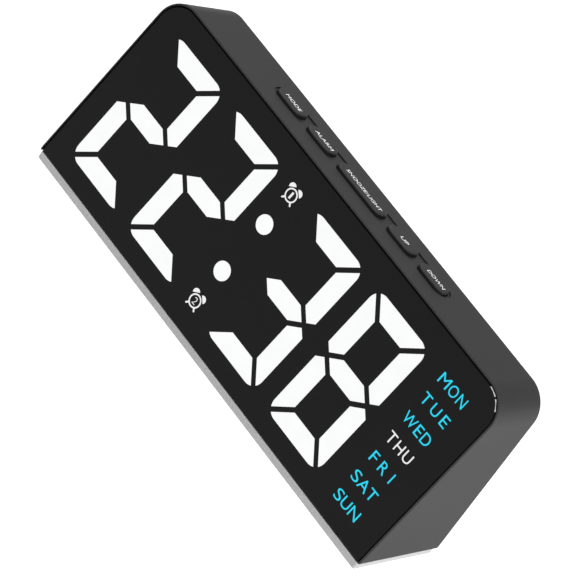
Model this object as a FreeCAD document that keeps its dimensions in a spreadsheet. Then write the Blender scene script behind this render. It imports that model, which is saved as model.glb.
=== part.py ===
import FreeCAD, Part
import math
import os
import Sketcher

# A leaning desk clock with a large segment display, five press keys on its top
# face, and the boards, speaker and back-up cell that it holds inside.
# Millimetres. +X is to the viewer's right, +Y to the back and +Z up.
# The origin is the middle of the footprint, on the surface the clock stands on.

doc = FreeCAD.newDocument("DayClock")
sheet = doc.addObject("Spreadsheet::Sheet", "sizes")

SIZES = [
    # Housing
    ("body_width", 192.0, "width over the housing"),
    ("face_height", 76.05, "height of the leaning face, along the face"),
    ("face_lean", 12.8, "degrees that the face leans back from upright"),
    ("base_depth", 41.1, "depth of the housing at its floor"),
    ("top_tilt", 7.7, "degrees that the top falls towards the back"),
    ("rear_lean", 1.2, "degrees that the back leans out"),
    ("rear_draft", 1.3, "degrees that the sides draw in at the back"),
    ("corner_radius", 10.6, "upper corners of the face"),
    ("rear_corner_radius", 10.4, "upper corners of the back"),
    ("foot_radius", 0.9, "lower corners of the face and the back"),
    ("side_wall", 2.8, "side walls"),
    ("top_wall", 2.4, "top wall"),
    ("floor_wall", 2.4, "floor wall"),
    ("rim_width", 0.65, "housing rim round the front panel, open at its foot"),
    ("rim_round", 0.5, "rounding of the front rim"),
    ("rear_round", 0.7, "rounding of the rear rim"),
    # Anti-slip pad
    ("pad_thickness", 2.8, "height of the pad"),
    ("pad_side_inset", 0.9, "pad edge inside the housing's sides"),
    ("pad_end_inset", 0.4, "pad edge inside the housing's front and back"),
    ("pad_corner", 0.8, "corner radius of the pad"),
    # Front panel and the display stack behind it
    ("panel_thickness", 2.0, "front panel"),
    ("panel_gap", 0.3, "gap from the panel to the rim"),
    ("panel_foot", 0.55, "panel above the face's lower edge, clear of the pad"),
    ("panel_bevel", 0.5, "bevel on the panel's front edge"),
    ("board_gap", 1.3, "display board inside the side walls"),
    ("stack_clearance", 0.4, "lower edge of the display board above the floor wall"),
    ("diffuser_thickness", 0.8, "diffuser sheet"),
    ("mask_depth", 5.0, "depth of the light wells"),
    ("post_diameter", 5.0, "screw posts on the panel's back"),
    ("post_gap", 0.4, "clearance from the posts to the stack and the board's edge"),
    ("post_inset", 4.5, "screw posts inside the stack's upper and lower edges"),
    ("board_thickness", 1.6, "display board and main board"),
    ("led_length", 3.0, "light-emitting diode body"),
    ("led_width", 1.4, "light-emitting diode body"),
    ("led_height", 0.8, "light-emitting diode body"),
    # Digits
    ("digit_foot", 7.9, "digits above the face's lower edge"),
    ("digit_top", 10.15, "digits below the face's upper edge"),
    ("digit_margin", 10.55, "first digit inside the housing's side"),
    ("hours_space", 5.8, "between the first two digits"),
    ("middle_space", 18.9, "between the second and the third digit"),
    ("minutes_space", 7.6, "between the last two digits"),
    ("stroke", 7.35, "outer strokes"),
    ("middle_stroke", 7.0, "middle stroke"),
    ("segment_gap", 1.85, "dark gap between segments"),
    ("digit_corner", 4.8, "outer corner radius of a digit"),
    ("node_inset", 2.8, "crossing of the middle gaps, inside the outer edge"),
    ("bar_angle", 38.5, "degrees of the middle gaps"),
    ("colon_lead", 9.25, "colon and alarm signs after the second digit"),
    ("dot_diameter", 6.9, "colon dots"),
    ("dot_spread", 11.1, "colon dots above and below the middle"),
    ("sign_inset", 3.8, "alarm signs inside the digits' ends"),
    ("sign_well", 8.0, "light well behind an alarm sign"),
    ("weekday_space", 8.3, "weekday column after the last digit"),
    ("weekday_margin", 11.05, "weekday column inside the housing's side"),
    ("weekday_inset", 2.15, "first and last weekday inside the digits' ends"),
    ("weekday_well_width", 14.2, "light well behind a weekday"),
    ("weekday_well_height", 5.8, "light well behind a weekday"),
    ("weekday_well_corner", 1.0, "light well behind a weekday"),
    # Keys
    ("key_row_x", -1.15, "middle of the key row"),
    ("key_setback", 13.65, "middle of the keys behind the top's front edge"),
    ("key_length", 13.7, "short keys"),
    ("long_key_length", 24.9, "snooze key"),
    ("key_depth", 8.0, "keys, front to back"),
    ("key_spacing", 4.0, "space between neighbouring keys"),
    ("key_rise", 1.05, "key tops above the top face"),
    ("key_round", 0.5, "rounding of the key tops"),
    ("key_gap", 0.3, "clearance round a key"),
    ("key_travel", 0.6, "press of a key"),
    ("recess_depth", 0.5, "key recess below the top face"),
    ("recess_end_margin", 1.35, "recess beyond the end keys"),
    ("recess_side_margin", 0.6, "recess before and behind the keys"),
    ("flange_width", 1.0, "key flange beyond its opening"),
    ("flange_thickness", 1.0, "key flange"),
    ("flange_play", 0.1, "key flange below the top wall"),
    ("pip_diameter", 2.6, "pip under a key"),
    ("pip_length", 0.8, "pip under a key"),
    ("switch_side", 6.0, "tactile switch body"),
    ("switch_height", 3.1, "tactile switch body"),
    ("plunger_diameter", 3.4, "switch plunger"),
    ("plunger_gap", 0.25, "clearance round a plunger"),
    ("plunger_rise", 0.9, "plunger above its switch"),
    ("plunger_depth", 1.5, "plunger inside its switch"),
    ("bore_depth", 2.5, "plunger bore in the switch"),
    ("key_board_depth", 8.4, "key board, front to back"),
    ("key_board_thickness", 1.2, "key board"),
    ("key_boss_gap", 0.6, "key board bosses beyond the end flanges"),
    # Rear cover
    ("cover_thickness", 2.0, "rear cover"),
    ("cover_rim", 1.4, "housing rim round the rear cover"),
    ("cover_gap", 0.2, "gap from the cover to the rim"),
    ("boss_diameter", 6.0, "screw bosses for the rear cover"),
    ("boss_length", 14.0, "screw bosses for the rear cover"),
    ("boss_merge", 0.6, "cover bosses sunk into the side walls"),
    ("boss_low", 8.0, "lower cover bosses above the housing's floor"),
    ("boss_high", 54.0, "upper cover bosses above the housing's floor"),
    # Screws
    ("shank_diameter", 2.0, "screws"),
    ("shank_length", 6.0, "screws"),
    ("door_shank_length", 4.0, "cell door screw"),
    ("head_diameter", 4.0, "screw heads"),
    ("head_height", 1.2, "screw heads"),
    ("screw_clearance", 0.2, "clearance hole round a shank and a head"),
    ("cross_width", 0.6, "cross recess in a screw head"),
    ("cross_length", 2.4, "cross recess in a screw head"),
    # Main board and inlet
    ("main_board_width", 86.0, "main board"),
    ("main_board_front", 14.3, "main board behind the housing's front edge"),
    ("main_board_back", 3.2, "main board in front of the back's outer face"),
    ("standoff_height", 3.0, "main board above the floor wall"),
    ("standoff_diameter", 4.6, "main board standoffs"),
    ("standoff_inset", 4.0, "standoffs inside the main board's edges"),
    ("crystal_length", 11.0, "crystal can"),
    ("crystal_depth", 4.6, "crystal can"),
    ("crystal_height", 3.5, "crystal can"),
    ("crystal_flange", 0.3, "crystal can's flange, as thick as it is wide"),
    ("crystal_x", -31.0, "crystal can from the middle"),
    ("header_depth", 5.0, "pin header shroud"),
    ("header_height", 6.2, "pin header shroud"),
    ("header_wall", 0.8, "pin header shroud"),
    ("header_setback", 4.0, "pin headers behind the main board's front edge"),
    ("pin_side", 0.64, "header pins"),
    ("pin_pitch", 2.54, "header pins"),
    ("usb_x", 22.0, "inlet from the middle"),
    ("usb_width", 8.94, "inlet shell"),
    ("usb_height", 3.26, "inlet shell"),
    ("usb_length", 7.4, "inlet shell"),
    ("usb_wall", 0.35, "inlet shell"),
    ("usb_setback", 0.6, "inlet mouth inside the back's outer face"),
    ("usb_tongue", 0.7, "contact tongue in the inlet"),
    ("usb_tongue_width", 6.7, "contact tongue in the inlet"),
    ("slot_gap", 0.35, "cover slot round the inlet shell"),
    # Speaker
    ("speaker_inset", 40.0, "speaker inside the housing's side"),
    ("speaker_level", 34.0, "speaker above the housing's floor"),
    ("speaker_diameter", 28.0, "speaker frame"),
    ("speaker_depth", 6.0, "speaker frame"),
    ("speaker_magnet", 16.8, "speaker magnet"),
    ("speaker_neck", 9.4, "speaker cone where it meets the magnet"),
    ("speaker_seat", 1.2, "wall of the ring that seats the speaker"),
    ("sound_hole", 1.8, "sound holes"),
    ("sound_pitch", 3.8, "sound hole rings"),
    # Back-up cell
    ("cell_inset", 44.0, "cell cup inside the housing's side"),
    ("cell_level", 34.0, "cell cup above the housing's floor"),
    ("cell_diameter", 20.0, "coin cell"),
    ("cell_thickness", 3.2, "coin cell"),
    ("cell_cap", 17.6, "cap on the coin cell's can"),
    ("cell_can_height", 2.4, "coin cell's can"),
    ("cell_gap", 0.3, "clearance round the cell"),
    ("cell_offset", 4.0, "cell from the middle of its door"),
    ("contact_thickness", 0.3, "cell contacts"),
    ("contact_length", 14.0, "cell contacts"),
    ("contact_width", 5.0, "cell contacts"),
    ("door_width", 33.0, "cell door"),
    ("door_height", 25.0, "cell door"),
    ("door_corner", 4.0, "cell door"),
    ("door_thickness", 1.6, "cell door"),
    ("door_gap", 0.2, "clearance round the cell door"),
    ("door_screw_x", 12.6, "door screw from the middle of the door"),
    ("door_grip", 9.0, "finger notch at the door's free edge"),
    ("cup_wall", 1.6, "walls of the cell cup"),
]

for row, (alias, number, note) in enumerate(SIZES, start=1):
    sheet.set("A%d" % row, note)
    sheet.set("B%d" % row, str(number))
    sheet.setAlias("B%d" % row, alias)
doc.recompute()

ALIASES = [alias for alias, number, note in SIZES]

# Lengths that follow from the sizes, each written once and used by name.
FOLLOWING = {
    "stack_width": "(body_width - 2 * (side_wall + board_gap + post_diameter + post_gap))",
    "digit_spaces": "(digit_margin + hours_space + middle_space + minutes_space + weekday_space)",
    "digit_width": "((body_width - digit_spaces - weekday_well_width - weekday_margin) / 4)",
    "digit_height": "(face_height - digit_foot - digit_top)",
    "digit_level": "(digit_foot + digit_height / 2)",
    "hours_tens_x": "(digit_margin + digit_width / 2 - body_width / 2)",
    "hours_units_x": "(hours_tens_x + digit_width + hours_space)",
    "minutes_tens_x": "(hours_units_x + digit_width + middle_space)",
    "minutes_units_x": "(minutes_tens_x + digit_width + minutes_space)",
    "colon_x": "(hours_units_x + digit_width / 2 + colon_lead)",
    "sign_spread": "(digit_height / 2 - sign_inset)",
    "weekday_x": "(body_width / 2 - weekday_margin - weekday_well_width / 2)",
    "weekday_pitch": "((digit_height - 2 * weekday_inset) / 6)",
    "main_board_depth": "(base_depth - main_board_front - main_board_back)",
    "speaker_x": "(body_width / 2 - speaker_inset)",
    "cell_x": "(cell_inset - body_width / 2)",
}


def bound(expression):
    """The expression with every size name written as a sheet reference."""
    words = []
    word = ""
    for letter in str(expression) + " ":
        if letter.isalnum() or letter == "_":
            word += letter
            continue
        if word in FOLLOWING:
            word = bound(FOLLOWING[word])
        words.append("sizes." + word if word in ALIASES else word)
        words.append(letter)
        word = ""
    return "".join(words).strip()


def value(expression):
    """The number that an expression of size names gives."""
    return float(sheet.evalExpression(bound(expression)))


# Derived lengths, each written once and used by every piece that meets it.
face_rise = "(face_height * cos(face_lean))"
face_run = "(face_height * sin(face_lean))"
rear_height = (
    "((%s - (base_depth - %s) * tan(top_tilt)) / (cos(rear_lean) + sin(rear_lean) * tan(top_tilt)))"
    % (face_rise, face_run)
)
rim_setback = "(rim_round * (1 / cos(face_lean) + tan(face_lean) - 1))"
front_y = "(-0.5 * (base_depth + %s * sin(rear_lean) + %s))" % (rear_height, rim_setback)
floor_top = "(pad_thickness + floor_wall)"
stack_back = "(panel_thickness + diffuser_thickness + mask_depth)"
switch_top = "(top_wall + flange_play + flange_thickness + pip_length + plunger_rise)"
key_board_drop = "(%s + switch_height)" % switch_top
stack_base = (
    "((floor_wall + stack_clearance + (%s + board_thickness) * sin(face_lean)) / cos(face_lean))"
    % stack_back
)
stack_height = "(2 * (digit_level - %s))" % stack_base
post_low = "(%s + post_inset)" % stack_base
post_high = "(%s + %s - post_inset)" % (stack_base, stack_height)
post_x = "(stack_width / 2 + post_gap + post_diameter / 2)"
board_width = "(2 * %s + post_diameter)" % post_x
boss_x = "(body_width / 2 - side_wall - boss_diameter / 2 + boss_merge)"
cup_depth = "(door_thickness + cell_thickness + 2 * contact_thickness + cup_wall)"
main_board_top = "(%s + standoff_height + board_thickness)" % floor_top

# Key row: four short keys with the long snooze key in the middle.
key_row_length = "(4 * key_length + long_key_length + 4 * key_spacing)"
step_in = "(long_key_length / 2 + key_spacing + key_length / 2)"
step_out = "(%s + key_spacing + key_length)" % step_in
KEYS = [
    ("mode", "key_length", "(key_row_x - %s)" % step_out),
    ("alarm", "key_length", "(key_row_x - %s)" % step_in),
    ("snooze", "long_key_length", "key_row_x"),
    ("up", "key_length", "(key_row_x + %s)" % step_in),
    ("down", "key_length", "(key_row_x + %s)" % step_out),
]
key_boss_x = (
    "(%s / 2 + key_gap + flange_width + key_boss_gap + boss_diameter / 2)" % key_row_length
)
key_board_length = "(2 * %s + boss_diameter)" % key_boss_x

# Frames of the faces: x, y and z of the frame's origin and its turn about X.
# The face: y up the face, z out to the viewer, from the face's lower edge.
FACE = ("0", front_y, "pad_thickness", "(90 - face_lean)")
# The back: y up the back, z into the housing, from the back's lower edge.
BACK = ("0", "(%s + base_depth)" % front_y, "pad_thickness", "(90 - rear_lean)")
# The top: y to the back, z out of the top, from the top's front edge.
TOP = ("0", "(%s + %s)" % (front_y, face_run), "(pad_thickness + %s)" % face_rise, "(0 - top_tilt)")
LEVEL = ("0", "0", "0", "0")


def locate(thing, link, frame, x="0", y="0", z="0"):
    """Bind a placement to the point x, y, z of a frame, turned as the frame is."""
    x0, y0, z0, turn = frame
    axis = FreeCAD.Vector(1, 0, 0)
    setattr(thing, link, FreeCAD.Placement(FreeCAD.Vector(0, 0, 0), FreeCAD.Rotation(axis, 1)))
    across = "%s + (%s)" % (x0, x)
    along = "%s + (%s) * cos(%s) - (%s) * sin(%s)" % (y0, y, turn, z, turn)
    upward = "%s + (%s) * sin(%s) + (%s) * cos(%s)" % (z0, y, turn, z, turn)
    thing.setExpression(link + ".Base.x", bound(across))
    thing.setExpression(link + ".Base.y", bound(along))
    thing.setExpression(link + ".Base.z", bound(upward))
    thing.setExpression(link + ".Rotation.Angle", bound(turn))


nodes = []


def keep(thing, name, frame=LEVEL, x="0", y="0", z="0"):
    """Name a finished piece and put it in its place."""
    thing.Label = name
    locate(thing, "Placement", frame, x, y, z)
    nodes.append(thing)
    return thing


def new_body(name):
    return doc.addObject("PartDesign::Body", name + "_body")


def new_sketch(body, name, frame=LEVEL, x="0", y="0", z="0"):
    sketch = body.newObject("Sketcher::SketchObject", name)
    ground = [item for item in body.Origin.OriginFeatures if item.Role == "XY_Plane"][0]
    sketch.AttachmentSupport = [(ground, "")]
    sketch.MapMode = "FlatFace"
    locate(sketch, "AttachmentOffset", frame, x, y, z)
    return sketch


def dimension(sketch, constraint, expression):
    index = sketch.addConstraint(constraint)
    sketch.setExpression("Constraints[%d]" % index, bound(expression))


def point(x, y):
    return FreeCAD.Vector(x, y, 0)


def arc(x, y, radius, start, end):
    circle = Part.Circle(point(x, y), FreeCAD.Vector(0, 0, 1), radius)
    return Part.ArcOfCircle(circle, math.radians(start), math.radians(end))


def draw_circle(sketch, diameter, x="0", y="0"):
    circle = Part.Circle(point(value(x), value(y)), FreeCAD.Vector(0, 0, 1), value(diameter) / 2)
    index = sketch.addGeometry(circle)
    dimension(sketch, Sketcher.Constraint("Diameter", index, value(diameter)), diameter)
    dimension(sketch, Sketcher.Constraint("DistanceX", -1, 1, index, 3, value(x)), x)
    dimension(sketch, Sketcher.Constraint("DistanceY", -1, 1, index, 3, value(y)), y)


def draw_plate(sketch, width, height, radius, x="0", y="0"):
    """A rectangle with rounded corners round the point x, y."""
    half_w = value(width) / 2
    half_h = value(height) / 2
    r = value(radius)
    cx = value(x)
    cy = value(y)
    left, right, low, high = cx - half_w, cx + half_w, cy - half_h, cy + half_h
    first = sketch.GeometryCount
    sketch.addGeometry(Part.LineSegment(point(left + r, low), point(right - r, low)))
    sketch.addGeometry(arc(right - r, low + r, r, -90, 0))
    sketch.addGeometry(Part.LineSegment(point(right, low + r), point(right, high - r)))
    sketch.addGeometry(arc(right - r, high - r, r, 0, 90))
    sketch.addGeometry(Part.LineSegment(point(right - r, high), point(left + r, high)))
    sketch.addGeometry(arc(left + r, high - r, r, 90, 180))
    sketch.addGeometry(Part.LineSegment(point(left, high - r), point(left, low + r)))
    sketch.addGeometry(arc(left + r, low + r, r, 180, 270))
    for step in range(8):
        joint = (first + step, 2, first + (step + 1) % 8, 1)
        sketch.addConstraint(Sketcher.Constraint("Tangent", *joint))
    for line, kind in ((0, "Horizontal"), (2, "Vertical"), (4, "Horizontal"), (6, "Vertical")):
        sketch.addConstraint(Sketcher.Constraint(kind, first + line))
    for corner in (3, 5, 7):
        sketch.addConstraint(Sketcher.Constraint("Equal", first + 1, first + corner))
    dimension(sketch, Sketcher.Constraint("Radius", first + 1, r), radius)
    dimension(sketch, Sketcher.Constraint("DistanceX", first + 6, 1, first + 2, 1, 2 * half_w), width)
    dimension(sketch, Sketcher.Constraint("DistanceY", first, 1, first + 4, 1, 2 * half_h), height)
    dimension(sketch, Sketcher.Constraint("DistanceX", -1, 1, first + 6, 1, left), "%s - %s / 2" % (x, width))
    dimension(sketch, Sketcher.Constraint("DistanceY", -1, 1, first, 1, low), "%s - %s / 2" % (y, height))


def draw_stadium(sketch, length, depth, x="0", y="0"):
    """A slot with half-round ends, longest along X, round the point x, y."""
    r = value(depth) / 2
    reach = value(length) / 2 - r
    cx = value(x)
    cy = value(y)
    first = sketch.GeometryCount
    sketch.addGeometry(Part.LineSegment(point(cx - reach, cy - r), point(cx + reach, cy - r)))
    sketch.addGeometry(arc(cx + reach, cy, r, -90, 90))
    sketch.addGeometry(Part.LineSegment(point(cx + reach, cy + r), point(cx - reach, cy + r)))
    sketch.addGeometry(arc(cx - reach, cy, r, 90, 270))
    for step in range(4):
        joint = (first + step, 2, first + (step + 1) % 4, 1)
        sketch.addConstraint(Sketcher.Constraint("Tangent", *joint))
    sketch.addConstraint(Sketcher.Constraint("Horizontal", first))
    sketch.addConstraint(Sketcher.Constraint("Horizontal", first + 2))
    dimension(sketch, Sketcher.Constraint("Radius", first + 1, r), "(%s) / 2" % depth)
    dimension(
        sketch,
        Sketcher.Constraint("DistanceX", first, 1, first, 2, 2 * reach),
        "(%s) - (%s)" % (length, depth),
    )
    dimension(sketch, Sketcher.Constraint("DistanceX", -1, 1, first + 3, 3, cx - reach),
              "(%s) - ((%s) - (%s)) / 2" % (x, length, depth))
    dimension(sketch, Sketcher.Constraint("DistanceY", -1, 1, first + 3, 3, cy), y)


def draw_arch(sketch, width, height, radius, base="0", draft="0", foot=""):
    """The clock's outline: round above, square or barely rounded below, drawn in by the draft."""
    half = value(width) / 2
    low = value(base)
    high = low + value(height)
    r = value(radius)
    toe = value(foot) if foot else 0
    lean = value(draft)
    shapes = [Part.LineSegment(point(toe - half, low), point(half - toe, low))]
    if foot:
        shapes.append(arc(half - toe, low + toe, toe, -90, 0))
    shapes.append(Part.LineSegment(point(half, low + toe), point(half, high - r)))
    shapes.append(arc(half - r, high - r, r, 0, 90))
    shapes.append(Part.LineSegment(point(half - r, high), point(r - half, high)))
    shapes.append(arc(r - half, high - r, r, 90, 180))
    shapes.append(Part.LineSegment(point(-half, high - r), point(-half, low + toe)))
    if foot:
        shapes.append(arc(toe - half, low + toe, toe, 180, 270))
    for shape in shapes:
        sketch.addGeometry(shape)
    last = len(shapes) - 1
    right = 2 if foot else 1
    left = right + 4
    if foot:
        corners = [(0, 2, 1, 1), (1, 2, 2, 1), (left, 2, last, 1), (last, 2, 0, 1)]
        for joint in corners:
            sketch.addConstraint(Sketcher.Constraint("Tangent", *joint))
        sketch.addConstraint(Sketcher.Constraint("Equal", 1, last))
        dimension(sketch, Sketcher.Constraint("Radius", 1, toe), foot)
    else:
        sketch.addConstraint(Sketcher.Constraint("Coincident", 0, 2, right, 1))
        sketch.addConstraint(Sketcher.Constraint("Coincident", left, 2, 0, 1))
    for step in range(right, left):
        sketch.addConstraint(Sketcher.Constraint("Tangent", step, 2, step + 1, 1))
    sketch.addConstraint(Sketcher.Constraint("Horizontal", right + 2))
    sketch.addConstraint(Sketcher.Constraint("Symmetric", 0, 1, 0, 2, -2))
    sketch.addConstraint(Sketcher.Constraint("Equal", right + 1, right + 3))
    dimension(sketch, Sketcher.Constraint("Radius", right + 1, r), radius)
    spread = "(%s - 2 * %s)" % (width, foot) if foot else width
    dimension(sketch, Sketcher.Constraint("DistanceX", 0, 1, 0, 2, value(spread)), spread)
    dimension(sketch, Sketcher.Constraint("DistanceY", 0, 2, right + 2, 1, high - low), height)
    dimension(sketch, Sketcher.Constraint("DistanceY", -1, 1, 0, 1, low), base)
    rising = math.radians(90 + lean)
    dimension(sketch, Sketcher.Constraint("Angle", right, rising), "90 + %s" % draft)
    dimension(sketch, Sketcher.Constraint("Angle", left, -rising), "-90 - %s" % draft)


def pad(body, sketch, length, flipped=False):
    feature = body.newObject("PartDesign::Pad", sketch.Name + "_pad")
    feature.Profile = sketch
    feature.setExpression("Length", bound(length))
    feature.Reversed = flipped
    sketch.Visibility = False
    return feature


def pocket(body, sketch, length, flipped=False):
    """Cut a sketch into the body, against the sketch's normal unless flipped."""
    feature = body.newObject("PartDesign::Pocket", sketch.Name + "_cut")
    feature.Profile = sketch
    feature.setExpression("Length", bound(length))
    feature.Reversed = flipped
    sketch.Visibility = False
    return feature


def loft(body, kind, first, second):
    feature = body.newObject("PartDesign::" + kind, first.Name + "_loft")
    feature.Profile = first
    feature.Sections = [second]
    feature.Ruled = True
    return feature


def edges_at(shape, test):
    """Names of the edges whose ends and middle all pass the test."""
    names = []
    for index, edge in enumerate(shape.Edges, start=1):
        middle = edge.valueAt((edge.FirstParameter + edge.LastParameter) / 2)
        places = [vertex.Point for vertex in edge.Vertexes] + [middle]
        if all(test(place) for place in places):
            names.append("Edge%d" % index)
    return names


def soften(body, kind, base, size, test):
    """Fillet or chamfer the base feature's edges that pass the test."""
    doc.recompute()
    feature = body.newObject("PartDesign::" + kind, base.Name + "_" + kind.lower())
    feature.Base = (base, edges_at(base.Shape, test))
    feature.setExpression("Radius" if kind == "Fillet" else "Size", bound(size))
    return feature


def on_plane(frame, level="0"):
    """A test for points in a frame's own plane, raised by a level."""
    x0, y0, z0, turn = [value(part) for part in frame]
    normal = FreeCAD.Vector(0, -math.sin(math.radians(turn)), math.cos(math.radians(turn)))
    origin = FreeCAD.Vector(x0, y0, z0)
    height = value(level)
    near = 0.001
    return lambda place: abs((place - origin).dot(normal) - height) < near


def ends(distance, low, high):
    """The four corners of a pattern: left and right, low and high."""
    return [(side + distance, level) for level in (low, high) for side in ("-", "")]


def solid_group(name, solids, frame, x="0", y="0", z="0"):
    """A piece made of several equal solids, kept under one name."""
    feature = doc.addObject("Part::Feature", name + "_group")
    feature.Shape = Part.makeCompound(solids)
    return keep(feature, name, frame, x, y, z)


# Housing: a drafted tube with a rim at each end, lofted from the back to the face.
def make_housing():
    body = new_body("housing")
    face = new_sketch(body, "face_outline", FACE)
    draw_arch(face, "body_width", "face_height", "corner_radius", foot="foot_radius")
    back = new_sketch(body, "back_outline", BACK)
    draw_arch(back, "body_width", rear_height, "rear_corner_radius", draft="rear_draft", foot="foot_radius")
    shell = loft(body, "AdditiveLoft", back, face)
    shell = soften(body, "Fillet", shell, "rim_round", on_plane(FACE))
    shell = soften(body, "Fillet", shell, "rear_round", on_plane(BACK))

    inner_width = "(body_width - 2 * side_wall)"
    floor_at_face = "(floor_wall / cos(face_lean))"
    roof_at_face = "(top_wall / cos(face_lean - top_tilt))"
    floor_at_back = "(floor_wall / cos(rear_lean))"
    roof_at_back = "(top_wall / cos(rear_lean - top_tilt))"
    mouth = new_sketch(body, "face_mouth", FACE)
    draw_arch(mouth, inner_width, "(face_height - %s - %s)" % (floor_at_face, roof_at_face),
              "(corner_radius - top_wall)", base=floor_at_face)
    exit_mouth = new_sketch(body, "back_mouth", BACK)
    draw_arch(exit_mouth, inner_width, "(%s - %s - %s)" % (rear_height, floor_at_back, roof_at_back),
              "(rear_corner_radius - top_wall)", base=floor_at_back, draft="rear_draft")
    loft(body, "SubtractiveLoft", exit_mouth, mouth)

    panel_seat = new_sketch(body, "panel_seat", FACE)
    draw_arch(panel_seat, "(body_width - 2 * rim_width)", "(face_height - rim_width)",
              "(corner_radius - rim_width)")
    pocket(body, panel_seat, "panel_thickness")
    cover_seat = new_sketch(body, "cover_seat", BACK)
    draw_arch(cover_seat, "(body_width - 2 * cover_rim)", "(%s - 2 * cover_rim)" % rear_height,
              "(rear_corner_radius - cover_rim)", base="cover_rim", draft="rear_draft")
    pocket(body, cover_seat, "cover_thickness", flipped=True)

    recess = new_sketch(body, "key_recess", TOP)
    draw_stadium(recess, "(%s + 2 * recess_end_margin)" % key_row_length,
                 "(key_depth + 2 * recess_side_margin)", "key_row_x", "key_setback")
    pocket(body, recess, "recess_depth")
    openings = new_sketch(body, "key_openings", TOP)
    for name, length, x in KEYS:
        draw_stadium(openings, "(%s + 2 * key_gap)" % length, "(key_depth + 2 * key_gap)", x, "key_setback")
    pocket(body, openings, "(top_wall + flange_thickness)")

    bosses = new_sketch(body, "cover_bosses", BACK, z="cover_thickness")
    pilots = new_sketch(body, "cover_pilots", BACK, z="cover_thickness")
    for x, level in ends(boss_x, "boss_low", "boss_high"):
        draw_circle(bosses, "boss_diameter", x, level)
        draw_circle(pilots, "shank_diameter", x, level)
    pad(body, bosses, "boss_length")
    pocket(body, pilots, "shank_length", flipped=True)

    key_bosses = new_sketch(body, "key_board_bosses", TOP, z="0 - top_wall")
    key_pilots = new_sketch(body, "key_board_pilots", TOP, z="0 - " + key_board_drop)
    for side in ("-", "+"):
        draw_circle(key_bosses, "boss_diameter", "(key_row_x %s %s)" % (side, key_boss_x), "key_setback")
        draw_circle(key_pilots, "shank_diameter", "(key_row_x %s %s)" % (side, key_boss_x), "key_setback")
    pad(body, key_bosses, "(%s - top_wall)" % key_board_drop, flipped=True)
    pocket(body, key_pilots, "(shank_length - key_board_thickness)", flipped=True)

    standoffs = new_sketch(body, "standoffs", LEVEL, z=floor_top)
    standoff_pilots = new_sketch(body, "standoff_pilots", LEVEL, z="(%s + standoff_height)" % floor_top)
    for x, y in main_board_holes():
        draw_circle(standoffs, "standoff_diameter", x, y)
        draw_circle(standoff_pilots, "shank_diameter", x, y)
    pad(body, standoffs, "standoff_height")
    pocket(body, standoff_pilots, "(shank_length - board_thickness)")
    keep(body, "housing")


def main_board_holes():
    """Screw places of the main board, in level coordinates."""
    across = "(main_board_width / 2 - standoff_inset)"
    back = "(%s - standoff_inset)" % main_board_edge
    front = "(%s - main_board_depth + standoff_inset)" % main_board_edge
    return [(side + across, y) for y in (front, back) for side in ("-", "")]


main_board_edge = "(%s + base_depth - main_board_back)" % front_y

# Key cap: a stadium that stands in the recess, held by a flange under the wall,
# with a pip that rests on the switch plunger.
def make_key(name, length, x):
    body = new_body(name + "_key")
    flange_top = "(0 - top_wall - flange_play)"
    cap = new_sketch(body, name + "_cap", z=flange_top)
    draw_stadium(cap, length, "key_depth")
    cap_pad = pad(body, cap, "(key_rise + top_wall + flange_play)")
    soften(body, "Fillet", cap_pad, "key_round", on_plane(LEVEL, "key_rise"))
    flange = new_sketch(body, name + "_flange", z=flange_top)
    reach = "2 * (key_gap + flange_width)"
    draw_stadium(flange, "(%s + %s)" % (length, reach), "(key_depth + %s)" % reach)
    pad(body, flange, "flange_thickness", flipped=True)
    pip = new_sketch(body, name + "_pip", z="%s - flange_thickness" % flange_top)
    draw_circle(pip, "pip_diameter")
    pad(body, pip, "pip_length", flipped=True)
    keep(body, name + "_key", TOP, x, "key_setback")


# Plunger of a tactile switch, which the key pushes down into its bore.
def make_plunger(name, x):
    plunger = doc.addObject("Part::Cylinder", name + "_plunger_pin")
    plunger.setExpression("Radius", bound("plunger_diameter / 2"))
    plunger.setExpression("Height", bound("plunger_rise + plunger_depth"))
    base = "0 - %s - plunger_depth" % switch_top
    keep(plunger, name + "_plunger", TOP, x, "key_setback", base)


def make_switches():
    side = value("switch_side")
    height = value("switch_height")
    bore = value("plunger_diameter / 2 + plunger_gap")
    depth = value("bore_depth")
    solids = []
    for name, length, x in KEYS:
        shell = Part.makeBox(side, side, height, FreeCAD.Vector(-side / 2, -side / 2, 0))
        hollow = Part.makeCylinder(bore, depth, FreeCAD.Vector(0, 0, height - depth))
        shell = shell.cut(hollow)
        shell.translate(FreeCAD.Vector(value(x), 0, 0))
        solids.append(shell)
    solid_group("tact_switches", solids, TOP, "0", "key_setback", "0 - " + key_board_drop)


def make_key_board():
    body = new_body("key_board")
    strip = new_sketch(body, "key_board_outline")
    draw_plate(strip, key_board_length, "key_board_depth", "key_board_thickness")
    pad(body, strip, "key_board_thickness", flipped=True)
    holes = new_sketch(body, "key_board_holes")
    for side in ("-", ""):
        draw_circle(holes, "(shank_diameter + 2 * screw_clearance)", side + key_boss_x)
    pocket(body, holes, "key_board_thickness")
    keep(body, "key_board", TOP, "key_row_x", "key_setback", "0 - " + key_board_drop)


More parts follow.
